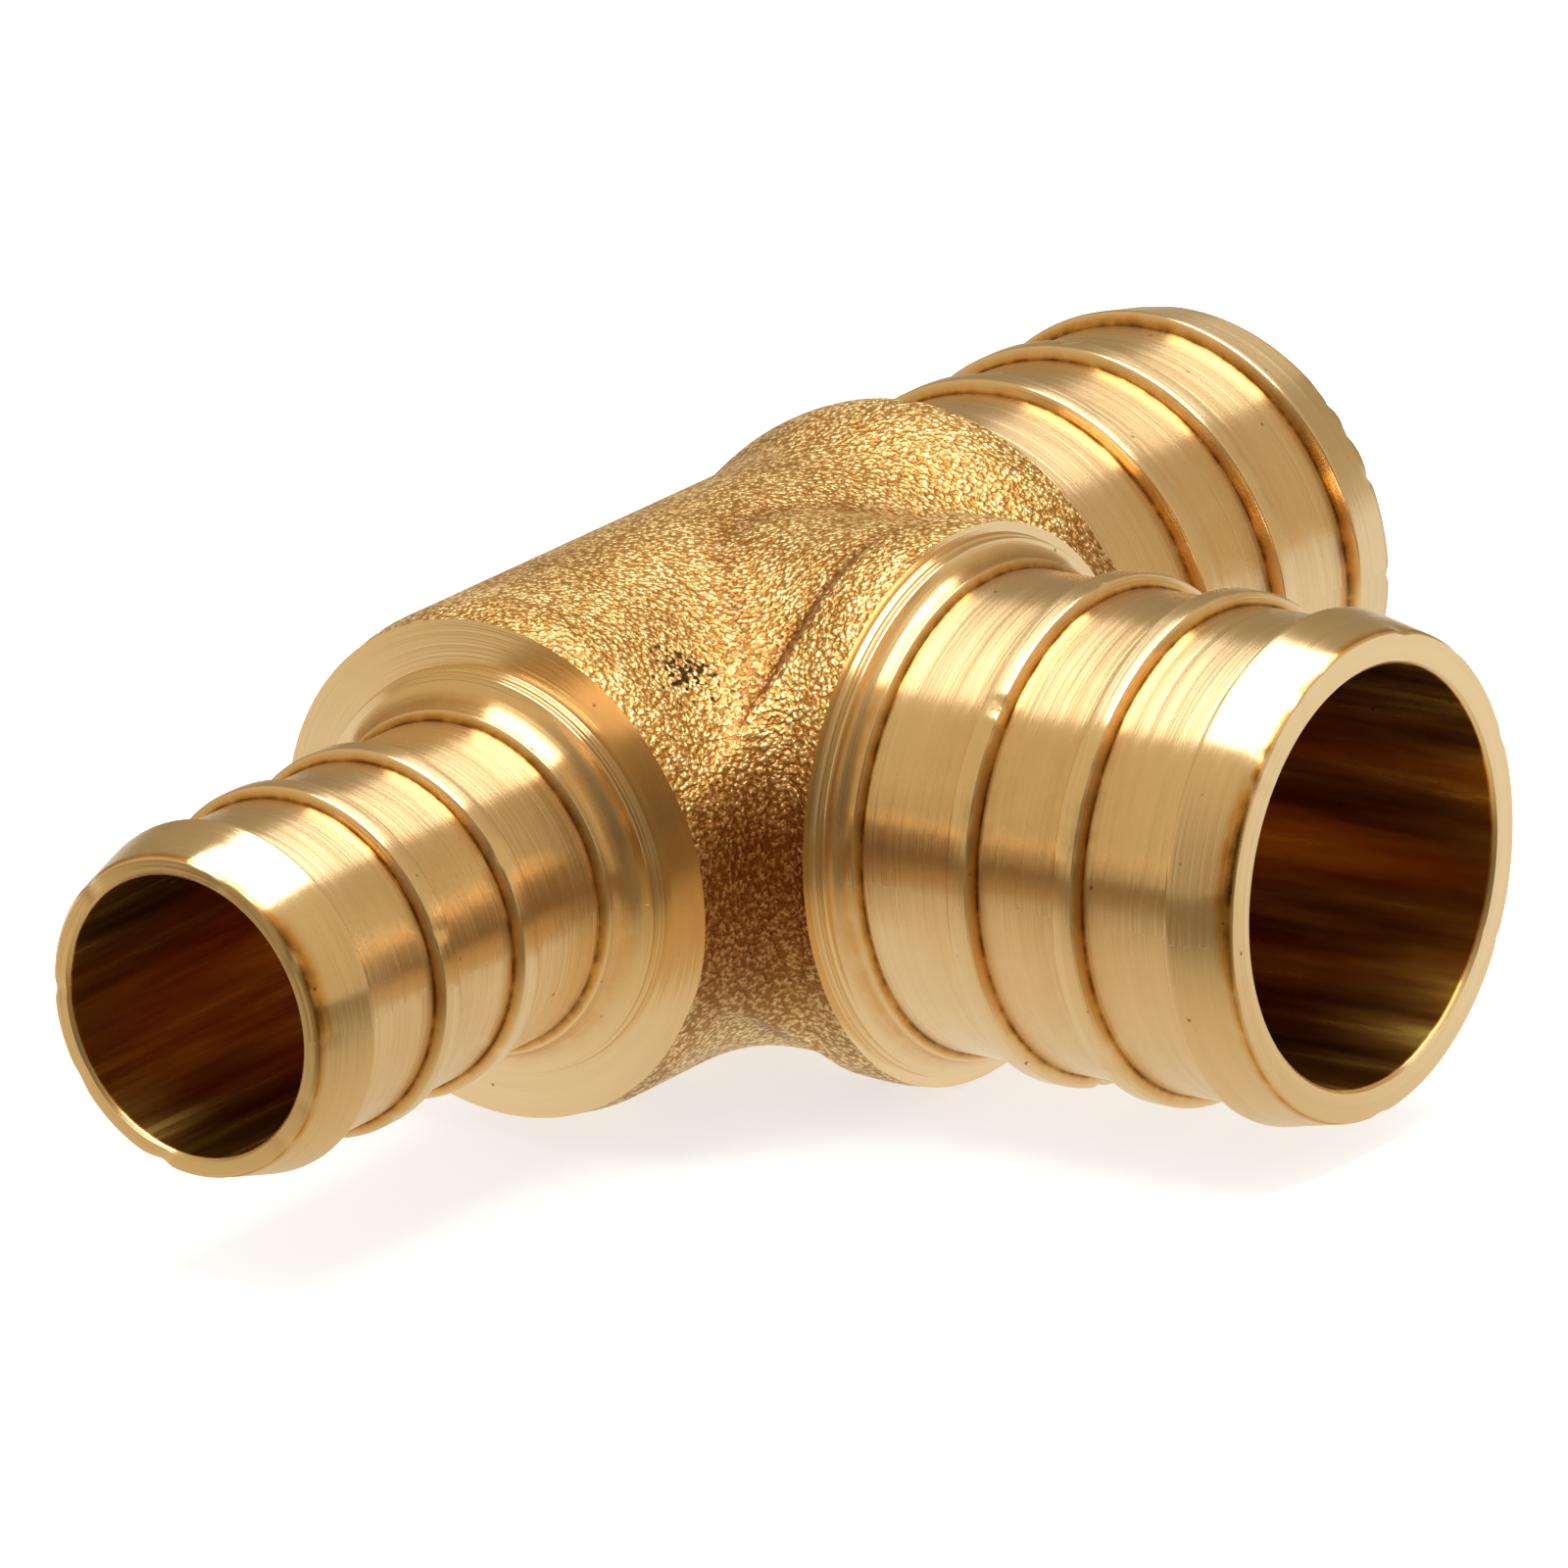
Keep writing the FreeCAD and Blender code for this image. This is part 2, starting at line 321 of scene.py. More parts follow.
def settle(mesh, ends, reach, rounds=6, least_slope=0.2):
    """Evens out the vertices and moves them onto the forged skin, all but those of the cut ends."""
    margin = 0.4
    points = read_points(mesh)
    x, y = points[:, 0], points[:, 1]
    side = (x > -ends[0] + margin) & (x < ends[1] - margin) & (y > -reach + margin)
    for _ in range(rounds):
        points[side] = 0.5 * (points + neighbours_mean(mesh, points))[side]
        for _ in range(3):
            slope = gradient(skin_field, points)
            off = skin_field(points) / np.maximum((slope**2).sum(axis=1), least_slope)
            points[side] -= (off[:, None] * slope)[side]
    write_points(mesh, points)


def split_bends(mesh, least=0.22, most=1.2):
    """Makes the mesh finer where its faces meet at an angle, in radians, so creases stay crisp.

    The cut ends, which meet the sides at a larger angle, stay as they are.
    """
    bent = bmesh.new()
    bent.from_mesh(mesh)
    sharp = {edge for edge in bent.edges if least < edge.calc_face_angle(0) < most}
    faces = {face for edge in sharp for vertex in edge.verts for face in vertex.link_faces}
    edges = {edge for face in faces for edge in face.edges}
    bmesh.ops.subdivide_edges(bent, edges=list(edges), cuts=1, use_grid_fill=True)
    bmesh.ops.triangulate(bent, faces=[face for face in bent.faces if len(face.verts) > 4])
    bent.to_mesh(mesh)
    bent.free()


# ---------------------------------------------------------------- the turned spigots


def spigot_profile(tip, shoulder, crest, land, face, hub, cove):
    """A spigot's outline from inside the body to the centre of its end face."""
    # the end face, its broken edge and the nose
    corners = [(0, 0, 0), (0, face - 0.1, 0.05), (EDGE_BREAK, face, 0.08)]
    for along in (0.35, 0.7, 1.3):
        rise = (crest - face) * (along - EDGE_BREAK) / (NOSE_CREST - EDGE_BREAK)
        corners.append((along, face + rise, 0))
    corners += [(NOSE_CREST, crest, 0.06), (NOSE_CREST + 0.13, crest, 0.06)]
    corners += [(NOSE_FOOT, land, 0.08), (NOSE_FOOT + 0.12, land, 0)]
    # the two ribs, with points close to their feet so that the painted shade stays there
    for front, back in RIBS:
        corners += [(front - 0.25, land, 0), (front - 0.14, land, 0.06)]
        corners += [(front - 0.09, land + 0.13, 0), (front, crest, 0.07), (back, crest, 0.07)]
        corners += [(back + 0.09, land + 0.13, 0), (back + 0.14, land, 0.06)]
        corners += [(back + 0.25, land, 0)]
    # the cove, the hub with its two fine steps, and the end inside the body
    depth = tip - shoulder
    cove_end = depth - 0.53
    foot = hub - cove
    start = cove_end - cove
    corners += [(COVE_FOOT - 0.12, land, 0), (COVE_FOOT, land, 0.06), (14.84, foot, 0.07)]
    corners += [(start, foot, 0)]
    for angle in np.radians(np.arange(15, 90, 15)):
        corners.append((start + cove * math.sin(angle), hub - cove * math.cos(angle), 0))
    corners += [(cove_end, hub, 0.05), (cove_end + 0.08, hub + 0.02, 0.03)]
    corners += [(depth - 0.24, hub - 0.03, 0.03), (depth - 0.22, hub + 0.08, 0.03)]
    corners += [(depth - 0.02, hub + 0.1, 0.03), (depth, hub + 0.12, 0)]
    corners += [(depth + 2.5, hub + 0.12, 0), (depth + 2.5, 0, 0)]
    return soften([(tip - along, radius, rounding) for along, radius, rounding in corners])[::-1]


def knocks(tip, seed, count=16):
    """Small dents along the end face's edge and the ribs, as handling leaves them."""
    dice = np.random.default_rng(seed)
    dents = []
    for _ in range(count):
        angle = dice.uniform(0, 2 * math.pi)
        along, size, depth = dice.uniform((0, 0.12, 0.03), (0.3, 0.4, 0.13))
        dents.append((tip - along, angle, size, depth))
        rib = RIBS[dice.integers(0, 2)][0]
        angle, size = dice.uniform((0, 0.1), (2 * math.pi, 0.25))
        dents.append((tip - rib, angle, size, 0.1))
    return dents


def spigots():
    """The three turned spigots."""
    large = LARGE_CREST, LARGE_LAND, LARGE_FACE, LARGE_HUB, LARGE_COVE
    small = SMALL_CREST, SMALL_LAND, SMALL_FACE, SMALL_HUB, SMALL_COVE
    plans = (
        ("-X", SMALL_TIP, SMALL_SHOULDER, small, 3),
        ("+X", RUN_TIP, RUN_SHOULDER, large, 5),
        ("-Y", BRANCH_TIP, BRANCH_SHOULDER, large, 8),
    )
    for arm, tip, shoulder, sizes, seed in plans:
        profile = spigot_profile(tip, shoulder, *sizes)
        yield lathe("spigot", profile, arm, knocks(tip, seed))


# ---------------------------------------------------------------- the waterways


def waterways():
    """The cutters for the run's stepped bore and for the branch's bore."""
    small, large = SMALL_BORE, LARGE_BORE
    past, flare, mouth = 1, 1.15, 0.13
    run = [
        (SMALL_TIP + past, 0, 0),
        (SMALL_TIP + past, small + flare, 0),
        (SMALL_TIP - mouth, small, 0.08),
        (RUN_BORE_END + DRILL_POINT, small, 0.1),
        (RUN_BORE_END, large, 0.1),
        (-RUN_TIP + mouth, large, 0.08),
        (-RUN_TIP - past, large + flare, 0),
        (-RUN_TIP - past, 0, 0),
    ]
    branch = [
        (BRANCH_TIP + past, 0, 0),
        (BRANCH_TIP + past, large + flare, 0),
        (BRANCH_TIP - mouth, large, 0.08),
        (0, large, 0),
        (0, 0, 0),
    ]
    yield lathe("run_bore", subdivide(soften(run))[::-1], "-X")
    yield lathe("branch_bore", subdivide(soften(branch))[::-1], "-Y")


def subdivide(profile, longest=2.5):
    """The same outline with points added along its long straight stretches."""
    points = [profile[0]]
    for here in profile[1:]:
        before = points[-1]
        on_axis = before[1] == 0 or here[1] == 0
        pieces = 1 if on_axis else max(1, round(math.dist(before, here) / longest))
        for piece in range(1, pieces + 1):
            share = piece / pieces
            points.append(tuple((1 - share) * a + share * b for a, b in zip(before, here)))
    return points


def shoulder_cut(arm, place):
    """A block that faces a shoulder square to its arm."""
    x0, x1, side = place, place + 6, 14
    corners = [(x, y, z) for x in (x0, x1) for y in (-side, side) for z in (-side, side)]
    faces = [(0, 1, 3, 2), (4, 6, 7, 5), (0, 4, 5, 1), (2, 3, 7, 6), (0, 2, 6, 4), (1, 5, 7, 3)]
    block = new_object("block", corners, faces)
    block.data.transform(ARMS[arm])
    return block


def clean(mesh, least=0.0005):
    """Removes the slivers that the cuts leave, with sides shorter than half a micrometre."""
    whole = bmesh.new()
    whole.from_mesh(mesh)
    bmesh.ops.remove_doubles(whole, verts=whole.verts, dist=least)
    bmesh.ops.dissolve_degenerate(whole, edges=whole.edges, dist=least)
    whole.to_mesh(mesh)
    whole.free()


def build_tee():
    """The whole tee as one closed mesh, still in millimetres."""
    tee = forged_skin()
    for arm, place in (("-X", SMALL_SHOULDER), ("+X", RUN_SHOULDER), ("-Y", BRANCH_SHOULDER)):
        combine(tee, shoulder_cut(arm, place), "DIFFERENCE")
    for spigot in spigots():
        combine(tee, spigot, "UNION")
    for cutter in waterways():
        combine(tee, cutter, "DIFFERENCE")
    clean(tee.data)
    tee.name = tee.data.name = "brass_tee"
    return tee


# ---------------------------------------------------------------- materials

FORGED, TURNED_RUN, TURNED_BRANCH, BORE_RUN, BORE_BRANCH = range(5)
# The attribute holds painted shade in the hollows and corners, and wear at the end faces' edges.
PAINTED_SHADE_AND_WEAR = "grime"
SHARP_ANGLE = math.radians(38)


class Nodes:
    """A short way to add shader nodes to a material and link them."""

    def __init__(self, tree):
        self.tree = tree
        tree.nodes.clear()

    def add(self, kind, inputs=None, **settings):
        """A node with its settings made and its inputs set or linked."""
        node = self.tree.nodes.new("ShaderNode" + kind)
        for name, value in settings.items():
            setattr(node, name, value)
        for name, value in (inputs or {}).items():
            self.feed(node.inputs[name], value)
        return node

    def feed(self, socket, value):
        """Links an output to a socket, or sets the socket's own value."""
        if isinstance(value, bpy.types.NodeSocket):
            self.tree.links.new(value, socket)
        else:
            socket.default_value = value

    def math(self, operation, *values):
        """One Math node's output."""
        node = self.add("Math", operation=operation)
        for socket, value in zip(node.inputs, values):
            self.feed(socket, value)
        return node.outputs[0]

    def ramp(self, value, stops):
        """A colour ramp over (place, colour or grey) stops."""
        node = self.add("ValToRGB", {"Fac": value})
        band = node.color_ramp
        while len(band.elements) < len(stops):
            band.elements.new(0.5)
        for element, (place, colour) in zip(band.elements, stops):
            grey = isinstance(colour, (int, float))
            element.position = place
            element.color = (colour,) * 3 + (1,) if grey else (*colour, 1)
        return node.outputs["Color"]

    def noise(self, vector, scale, detail=2.0, roughness=0.5):
        """A noise texture's grey output."""
        inputs = {"Vector": vector, "Scale": scale, "Detail": detail, "Roughness": roughness}
        return self.add("TexNoise", inputs).outputs["Fac"]


def millimetres(nodes):
    """The place on the object, in millimetres."""
    place = nodes.add("TexCoord").outputs["Object"]
    scaled = nodes.add("VectorMath", {0: place}, operation="SCALE")
    scaled.inputs["Scale"].default_value = 1 / MM
    return scaled.outputs["Vector"]


def mixed(nodes, share, one, other, blend="MIX"):
    """One colour laid over another."""
    node = nodes.add("Mix", data_type="RGBA", blend_type=blend)
    for name, value in (("Factor", share), ("A", one), ("B", other)):
        sockets = [s for s in node.inputs if s.name == name and s.enabled]
        nodes.feed(sockets[-1], value)
    return [s for s in node.outputs if s.enabled][0]


def finish_material(nodes, shader):
    """Puts the shader on the surface."""
    nodes.add("OutputMaterial", {"Surface": shader.outputs[0]})


def new_material(name):
    """A material, and the means to add nodes to it."""
    material = bpy.data.materials.new(name)
    material.use_nodes = True
    return material, Nodes(material.node_tree)


# Colours are linear. A ramp is a list of (place, colour or grey) stops, and the scales of the
# textures are per millimetre.
# The skin's tones by height: the brass's grain tone, with painted shade in the gaps between the
# bumps and painted highlight on their tops.
SKIN_TONES_SHADE_AND_HIGHLIGHT = [
    (0.2, (0.48, 0.25, 0.07)),
    (0.45, (0.87, 0.62, 0.25)),
    (0.65, (0.98, 0.88, 0.56)),
]
SKIN_WEAR = [(0.38, (0.8, 0.74, 0.66)), (0.62, (1.0, 1.0, 1.0))]
# The colour of the painted shade in the forging's inner corners, beside its crease and along its
# seam.
SKIN_PAINTED_SHADE = (0.54, 0.35, 0.25, 1)
SKIN_ROUGHNESS = 0.46
SKIN_BUMPS, SKIN_GRAIN, SKIN_PATCHES = 5.0, 8.5, 0.35
SKIN_RELIEF = 0.075 * MM
SWAY_SCALE, SWAY = 4.0, 0.2
SCALE_SPOT = (-9.15, -5.65, 6.7)
SCALE_CRUMBS = 4.2
SCALE_FADE = 0.2
SCALE_EDGE = [(0.34, 0.0), (0.38, 1.0)]
SCALE_COLOUR = (0.06, 0.03, 0.012, 1)


def forged_material():
    """The forging's skin: blasted brass in small golden bumps, with painted shade in the brown gaps
    between them and painted highlight on their tops.
    """
    material, nodes = new_material("forged_brass")
    place = millimetres(nodes)
    sway = {"Vector": place, "Scale": SWAY_SCALE, "Detail": 1.0}
    sway = {0: nodes.add("TexNoise", sway).outputs["Color"], 1: (SWAY,) * 3, 2: place}
    swayed = nodes.add("VectorMath", sway, operation="MULTIPLY_ADD").outputs[0]
    cells = {"Vector": swayed, "Scale": SKIN_BUMPS, "Smoothness": 0.5}
    cells = nodes.add("TexVoronoi", cells, feature="SMOOTH_F1").outputs["Distance"]
    grain = nodes.noise(place, SKIN_GRAIN, 1.0)
    relief = nodes.math("MULTIPLY_ADD", grain, 0.8, nodes.math("SUBTRACT", 0.4, cells))
    worn = nodes.ramp(nodes.noise(place, SKIN_PATCHES), SKIN_WEAR)
    # Grain tone by height, with painted shade in the gaps and painted highlight on the tops.
    colour = mixed(nodes, 1.0, nodes.ramp(relief, SKIN_TONES_SHADE_AND_HIGHLIGHT), worn, "MULTIPLY")
    # Painted shade in the inner corners, beside the crease and along the seam.
    grime = nodes.add("Attribute", attribute_name=PAINTED_SHADE_AND_WEAR).outputs["Fac"]
    colour = mixed(nodes, grime, colour, SKIN_PAINTED_SHADE, "MULTIPLY")
    # A patch of dark scale: only the highest crumbs near its spot are left.
    away = nodes.add("VectorMath", {0: place, 1: SCALE_SPOT}, operation="DISTANCE").outputs["Value"]
    crumbs = nodes.noise(place, SCALE_CRUMBS, 1.0)
    scale = nodes.math("MULTIPLY_ADD", relief, -SCALE_FADE, crumbs)
    scale = nodes.math("MULTIPLY_ADD", away, -SCALE_FADE, scale)
    colour = mixed(nodes, nodes.ramp(scale, SCALE_EDGE), colour, SCALE_COLOUR)
    bump = nodes.add("Bump", {"Strength": 1.0, "Distance": SKIN_RELIEF, "Height": relief})
    settings = {"Base Color": colour, "Metallic": 1.0, "Roughness": SKIN_ROUGHNESS}
    shader = nodes.add("BsdfPrincipled", settings | {"Normal": bump.outputs["Normal"]})
    finish_material(nodes, shader)
    return material


TURNED_TONES = [(0.3, (0.85, 0.64, 0.37)), (0.7, (0.9, 0.69, 0.41))]
# The bored brass: a darker copy of the turned brass as painted shade inside the bores, in streaks
# that are partly tool marks and partly painted reflection.
BORED_TONES_SHADE_AND_REFLECTION = [
    (0.36, (0.45, 0.19, 0.03)),
    (0.52, (0.66, 0.35, 0.06)),
    (0.68, (0.92, 0.62, 0.16)),
]
# How the turned brass darkens under painted shade at the rib feet and coves, and under wear at the
# end faces' edges.
TURNED_SHADE_AND_WEAR = [(0.0, (1.0, 1.0, 1.0)), (0.35, (0.8, 0.55, 0.25)), (1.0, (0.1, 0.04, 0.015))]
SHADE_AND_WEAR_PATCHES = 1.3
UNEVEN = [(0.35, 0.6), (0.6, 1.0)]
SPECKS = 0.62
SPECK_EDGE = [(0.03, 0.75), (0.055, 0.0)]
SPECK_COLOUR = (0.2, 0.1, 0.03, 1)
TOOL_RINGS, TOOL_STREAKS, DRAWN_STREAKS = 5.5, 2.2, 1.4
TOOL_RELIEF = 0.018 * MM
TURNED_ROUGHNESS = [(0.3, 0.2), (0.7, 0.3)]
FACED_ROUGHNESS = (0.15, 0.15, 0.15, 1)
FACED = [(0.8, 0.0), (0.97, 1.0)]


def bored_look(nodes, along, turn):
    """The height and the colour of a bore's wall, in streaks drawn along the bore; the colour is
    darkened as painted shade, and its streaks are partly painted reflection.
    """
    drawn = {"X": nodes.math("MULTIPLY", along, 0.05), "Y": nodes.math("MULTIPLY", turn, 4.0)}
    drawn = nodes.add("CombineXYZ", drawn).outputs[0]
    streaks = nodes.noise(drawn, DRAWN_STREAKS, 3.0, 0.55)
    return streaks, nodes.ramp(streaks, BORED_TONES_SHADE_AND_REFLECTION)


def turned_look(nodes, along, turn, square):
    """The height and the colour of a turned wall, in fine rings round the arm."""
    ringed = {"X": along, "Y": nodes.math("SQRT", square), "Z": nodes.math("MULTIPLY", turn, 0.12)}
    ringed = nodes.add("CombineXYZ", ringed).outputs[0]
    rings = nodes.noise(ringed, TOOL_RINGS, 3.0, 0.6)
    streaks = nodes.noise(ringed, TOOL_STREAKS, 3.0, 0.6)
    return rings, nodes.ramp(streaks, TURNED_TONES)


def turned_material(name, axis, inside):
    """Turned or bored brass: fine rings round the axis, which smear reflections along it."""
    material, nodes = new_material(name)
    place = millimetres(nodes)
    x, y, z = nodes.add("SeparateXYZ", {"Vector": place}).outputs
    along, across = (x, y) if axis == "X" else (y, x)
    turn = nodes.math("ARCTAN2", z, across)
    if inside:
        height, colour = bored_look(nodes, along, turn)
    else:
        across_square = nodes.math("MULTIPLY", across, across)
        square = nodes.math("ADD", across_square, nodes.math("MULTIPLY", z, z))
        height, colour = turned_look(nodes, along, turn, square)
    specks = nodes.add("TexVoronoi", {"Vector": place, "Scale": SPECKS}, feature="F1")
    stain = nodes.ramp(specks.outputs["Distance"], SPECK_EDGE)
    colour = mixed(nodes, stain, colour, SPECK_COLOUR)
    # Painted shade at the rib feet and coves, and wear at the end faces' edges, laid on unevenly.
    grime = nodes.add("Attribute", attribute_name=PAINTED_SHADE_AND_WEAR).outputs["Fac"]
    uneven = nodes.ramp(nodes.noise(place, SHADE_AND_WEAR_PATCHES, 3.0, 0.6), UNEVEN)
    shade_and_wear_tone = nodes.ramp(nodes.math("MULTIPLY", grime, uneven), TURNED_SHADE_AND_WEAR)
    colour = mixed(nodes, 1.0, colour, shade_and_wear_tone, "MULTIPLY")
    bump = nodes.add("Bump", {"Strength": 1.0, "Distance": TOOL_RELIEF, "Height": height})
    normal = nodes.add("TexCoord").outputs["Normal"]
    facing = nodes.add("SeparateXYZ", {"Vector": normal}).outputs[axis]
    faced = nodes.ramp(nodes.math("ABSOLUTE", facing), FACED)
    smooth = nodes.ramp(height, TURNED_ROUGHNESS)
    if axis == "X":
        round_axis = {"X": 0.0, "Y": nodes.math("MULTIPLY", z, -1.0), "Z": y}
    else:
        round_axis = {"X": z, "Y": 0.0, "Z": nodes.math("MULTIPLY", x, -1.0)}
    round_axis = nodes.add("CombineXYZ", round_axis).outputs[0]
    tangent = nodes.add("VectorMath", {0: round_axis}, operation="NORMALIZE")
    shader = nodes.add(
        "BsdfPrincipled",
        {
            "Base Color": colour,
            "Metallic": 1.0,
            "Roughness": mixed(nodes, faced, smooth, FACED_ROUGHNESS),
            "Anisotropic": 0.9,
            "Anisotropic Rotation": 0.25,
            "Tangent": tangent.outputs["Vector"],
            "Normal": bump.outputs["Normal"],
        },
    )
    finish_material(nodes, shader)
    return material


# Painted shade in the inner corners between the branch and each end of the run, where shade falls.
INNER_CORNER = (10.2, -9.6, -2.0)


def near(value, place, width):
    """1 where a value is at a place, and 0 further than a width from it."""
    return np.clip(1 - np.abs(value - place) / width, 0, 1)


def forging_painted_shade(points):
    """How much painted shade darkens the forged skin at each point, from 0 to 1."""
    x, y, z = points.T
    off_run, off_branch = np.hypot(y, z), np.hypot(x, z)
    to_corner = np.column_stack([np.abs(x), y, 0.6 * z]) - INNER_CORNER
    to_corner = np.linalg.norm(to_corner, axis=1)
    corner = smooth_rise(-to_corner, -6.2, -3.0) * smooth_rise(z, -6.0, -1.5)
    # Painted shade beside the crease's step, and along the valley where run and branch meet.
    crease = smooth_rise(-y, CREASE - 1.2, CREASE - 0.1)
    crease *= 1 - smooth_rise(-y, CREASE, CREASE + 0.35)
    crease *= 0.8 * smooth_rise(off_run, 9.0, 9.6)
    seam = near(off_run - run_radius(x), off_branch - branch_radius(y), 0.5)
    seam *= 0.5 * smooth_rise(z, 4.0, 7.5)
    return np.where(y < 0, np.maximum(corner, np.maximum(crease, seam)), 0)


def turning_shade_and_wear(points):
    """How brown the turned spigots are at each point, from 0 to 1.

    Painted shade at the feet of the ribs and in the coves; wear at the edge of each end face, most
    of all round one angle.
    """
    x, y, z = points.T
    off_run, off_branch = np.hypot(y, z), np.hypot(x, z)
    grime = np.zeros(len(points))
    for along, side, radius, tip, shoulder, land, face, worn in (
        (x, y, off_run, RUN_TIP, RUN_SHOULDER, LARGE_LAND, LARGE_FACE, 0.9),
        (-x, -y, off_run, SMALL_TIP, SMALL_SHOULDER, SMALL_LAND, SMALL_FACE, 0.4),
        (-y, x, off_branch, BRANCH_TIP, BRANCH_SHOULDER, LARGE_LAND, LARGE_FACE, 2.85),
    ):
        back = tip - along
        # Painted shade in the cove and at the feet of the ribs.
        brown = 0.28 * near(back, tip - shoulder - 0.95, 0.45)
        low = smooth_rise(-radius, -land - 0.25, -land - 0.04)
        for place in RIB_FEET:
            brown = np.maximum(brown, near(back, place, 0.12) * low)
        patch = near(np.cos(np.arctan2(z, side) - worn), 1, 0.12)
        edge = (0.5 + 0.5 * patch) * near(back, EDGE_BREAK, 0.15 + 0.5 * patch)
        brown = np.maximum(brown, edge * smooth_rise(radius, face - 0.1, face))
        spigot = (along > shoulder - 0.05) & (radius > land - 0.4)
        grime[spigot] = brown[spigot]
    return grime


def add_shade_and_wear(mesh, kinds, counts, corners, points):
    """Stores the painted shade and wear at each corner of each face, as they differ on the two
    sides of an edge.
    """
    forged = np.repeat(kinds == FORGED, counts)
    grime = np.where(forged, forging_painted_shade(points)[corners], turning_shade_and_wear(points)[corners])
    layer = mesh.attributes.new(PAINTED_SHADE_AND_WEAR, "FLOAT", "CORNER")
    layer.data.foreach_set("value", grime.astype(np.float32))


def give_materials(tee):
    """Sorts the faces of the tee, still in millimetres, by how each was made."""
    mesh = tee.data
    mesh.materials.clear()
    for material in (
        forged_material(),
        turned_material("turned_run", "X", inside=False),
        turned_material("turned_branch", "Y", inside=False),
        turned_material("bored_run", "X", inside=True),
        turned_material("bored_branch", "Y", inside=True),
    ):
        mesh.materials.append(material)
    corners = np.empty(len(mesh.loops), np.int64)
    starts = np.empty(len(mesh.polygons), np.int64)
    mesh.loops.foreach_get("vertex_index", corners)
    mesh.polygons.foreach_get("loop_start", starts)
    points = read_points(mesh)
    x, y, z = points[corners].T
    off_run, off_branch = np.hypot(y, z), np.hypot(x, z)
    counts = np.diff(np.append(starts, len(corners)))
    x, y, off_run, off_branch = (
        np.add.reduceat(values, starts) / counts for values in (x, y, off_run, off_branch)
    )
    slack = 0.01
    kinds = np.full(len(mesh.polygons), FORGED)
    kinds[(x < -SMALL_SHOULDER + slack) | (x > RUN_SHOULDER - slack)] = TURNED_RUN
    kinds[y < -BRANCH_SHOULDER + slack] = TURNED_BRANCH
    bore = np.where(-x > RUN_BORE_END + DRILL_POINT, SMALL_BORE, LARGE_BORE)
    kinds[off_run < bore + 2 * slack] = BORE_RUN
    in_branch = (off_branch < LARGE_BORE + 2 * slack) & (y < 0)
    kinds[in_branch & (off_run > LARGE_BORE - 5 * slack)] = BORE_BRANCH
    add_shade_and_wear(mesh, kinds, counts, corners, points)
    mesh.polygons.foreach_set("material_index", kinds.astype(np.int32))
    mesh.polygons.foreach_set("use_smooth", np.ones(len(mesh.polygons), bool))
    mesh.set_sharp_from_angle(angle=SHARP_ANGLE)
    mesh.update()


# ---------------------------------------------------------------- the studio


CAMERA_AZIMUTH = -52.635
CAMERA_ELEVATION = 18.48
CAMERA_ROLL = -3.308
CAMERA_DISTANCE = 563.2
CAMERA_ASIDE = 2.055
CAMERA_ABOVE = -0.820
CAMERA_LENS = 388.03
WHITE = (0.95, 0.95, 0.95, 1)
TABLE_TONES = [(0.58, (0.88, 0.84, 0.76)), (0.74, (0.66, 0.53, 0.33)), (0.92, (0.24, 0.17, 0.08))]
ROOM_TINT = (1, 0.79, 0.48)
ROOM_TONES = [(0.0, 0.34), (0.2, 0.45), (0.45, 0.66), (0.75, 0.66), (0.86, 0.35), (1.0, 0.14)]
FLOOR_SIDE = 3.0
SOFTBOX_PLACE = (0.11, -0.01, 0.94)
SOFTBOX_SIZE = 1.04, 0.8
SOFTBOX_POWER = 12.0


def front():
    """The tee's front: the level direction, fixed in the world, that the photo was taken from."""
    turn = math.radians(CAMERA_AZIMUTH)
    return math.sin(turn), -math.cos(turn)


def towards_front(nodes, vector):
    """How far a vector reaches towards the tee's front."""
    node = nodes.add("VectorMath", {0: vector, 1: (*front(), 0.0)}, operation="DOT_PRODUCT")
    return node.outputs["Value"]


def floor_material():
    """A pale, even floor. The metal mirrors it as a grey table, darkest in front of the tee."""
    material, nodes = new_material("pale_floor")
    place = nodes.add("TexCoord").outputs["Object"]
    mottle = nodes.noise(place, 3.0)
    colour = nodes.ramp(mottle, [(0.3, 0.49), (0.7, 0.51)])
    settings = {"Base Color": colour, "Roughness": 0.9, "Specular IOR Level": 0.1}
    settings |= {"Emission Color": (1, 1, 1, 1), "Emission Strength": 0.65}
    seen = nodes.add("BsdfPrincipled", settings)
    reach = nodes.math("MULTIPLY_ADD", towards_front(nodes, place), 10.0, 0.5)
    mirrored = nodes.add("Emission", {"Color": nodes.ramp(reach, TABLE_TONES)})
    glossy = nodes.add("LightPath").outputs["Is Glossy Ray"]
    shader = nodes.add("MixShader", {"Fac": glossy, 1: seen.outputs[0], 2: mirrored.outputs[0]})
    finish_material(nodes, shader)
    return material


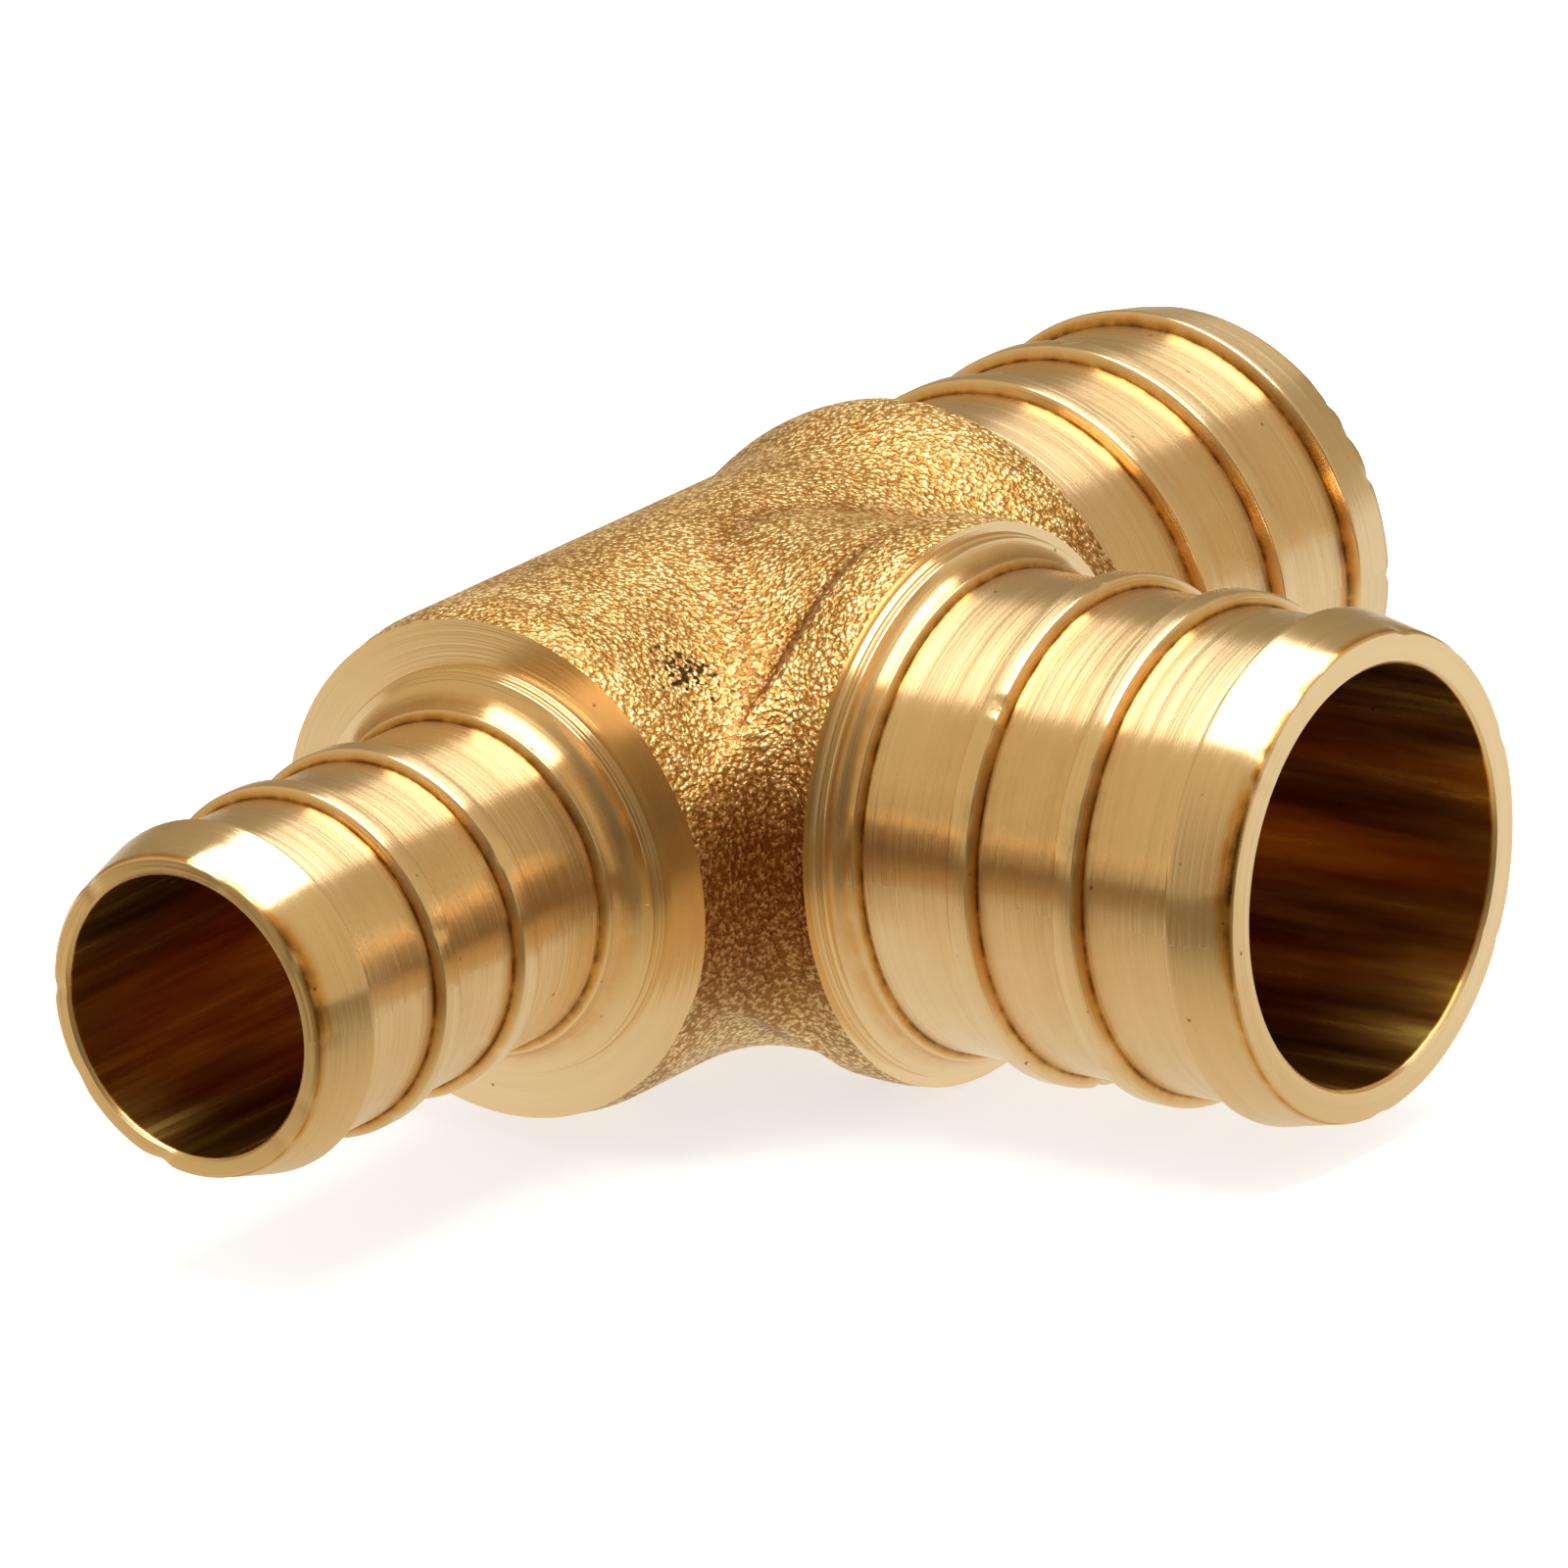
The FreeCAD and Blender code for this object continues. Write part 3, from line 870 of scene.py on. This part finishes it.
def add_floor():
    """A wide pale floor that the tee rests on."""
    level = cad_bounds[0][2]
    far = FLOOR_SIDE
    corners = [(-far, -far, level), (far, -far, level), (far, far, level), (-far, far, level)]
    floor = new_object("floor", corners, [(0, 1, 2, 3)])
    floor.data.materials.append(floor_material())
    floor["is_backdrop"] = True


def add_softbox():
    """A softbox that hangs over the tee and faces straight down."""
    lamp = bpy.data.lights.new("softbox", "AREA")
    lamp.shape = "RECTANGLE"
    lamp.size, lamp.size_y = SOFTBOX_SIZE
    lamp.energy = SOFTBOX_POWER
    light = bpy.data.objects.new("softbox", lamp)
    light.location = SOFTBOX_PLACE
    bpy.context.scene.collection.objects.link(light)


def add_world():
    """A white backdrop. The metal mirrors a dimmer room, darkest in front of the tee."""
    world = bpy.data.worlds.new("studio")
    bpy.context.scene.world = world
    world.use_nodes = True
    nodes = Nodes(world.node_tree)
    way = nodes.add("TexCoord").outputs["Generated"]
    level = nodes.math("MULTIPLY_ADD", towards_front(nodes, way), 0.5, 0.5)
    tones = [(place, tuple(tone * part for part in ROOM_TINT)) for place, tone in ROOM_TONES]
    glossy = nodes.add("LightPath").outputs["Is Glossy Ray"]
    seen = mixed(nodes, glossy, WHITE, nodes.ramp(level, tones))
    background = nodes.add("Background", {"Color": seen})
    nodes.add("OutputWorld", {"Surface": background.outputs[0]})


def add_camera():
    """A long lens from the small spigot's side, looking slightly down."""
    rise = math.radians(CAMERA_ELEVATION)
    front_x, front_y = front()
    back = Vector((front_x * math.cos(rise), front_y * math.cos(rise), math.sin(rise)))
    level_right = Vector((0, 0, 1)).cross(back).normalized()
    level_up = back.cross(level_right)
    roll = math.radians(CAMERA_ROLL)
    right = level_right * math.cos(roll) + level_up * math.sin(roll)
    up = level_up * math.cos(roll) - level_right * math.sin(roll)
    lens = bpy.data.cameras.new("camera")
    lens.sensor_width = 36
    lens.lens = CAMERA_LENS
    lens.clip_start = 0.01
    lens.clip_end = 20
    camera = bpy.data.objects.new("camera", lens)
    turned = Matrix((right, up, back)).transposed().to_4x4()
    place = (back * CAMERA_DISTANCE + right * CAMERA_ASIDE + up * CAMERA_ABOVE) * MM
    camera.matrix_world = Matrix.Translation(place) @ turned
    bpy.context.scene.collection.objects.link(camera)
    bpy.context.scene.camera = camera


bpy.context.scene.view_settings.view_transform = "Standard"

tee = build_tee()
give_materials(tee)
tee.data.transform(Matrix.Scale(MM, 4))
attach(tee, "root")
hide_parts("tee_body")

add_floor()
add_world()
add_softbox()
add_camera()

boxes = {"cad": cad_bounds, "visual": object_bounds()}
{name: [list(corner) for corner in box] for name, box in boxes.items()}
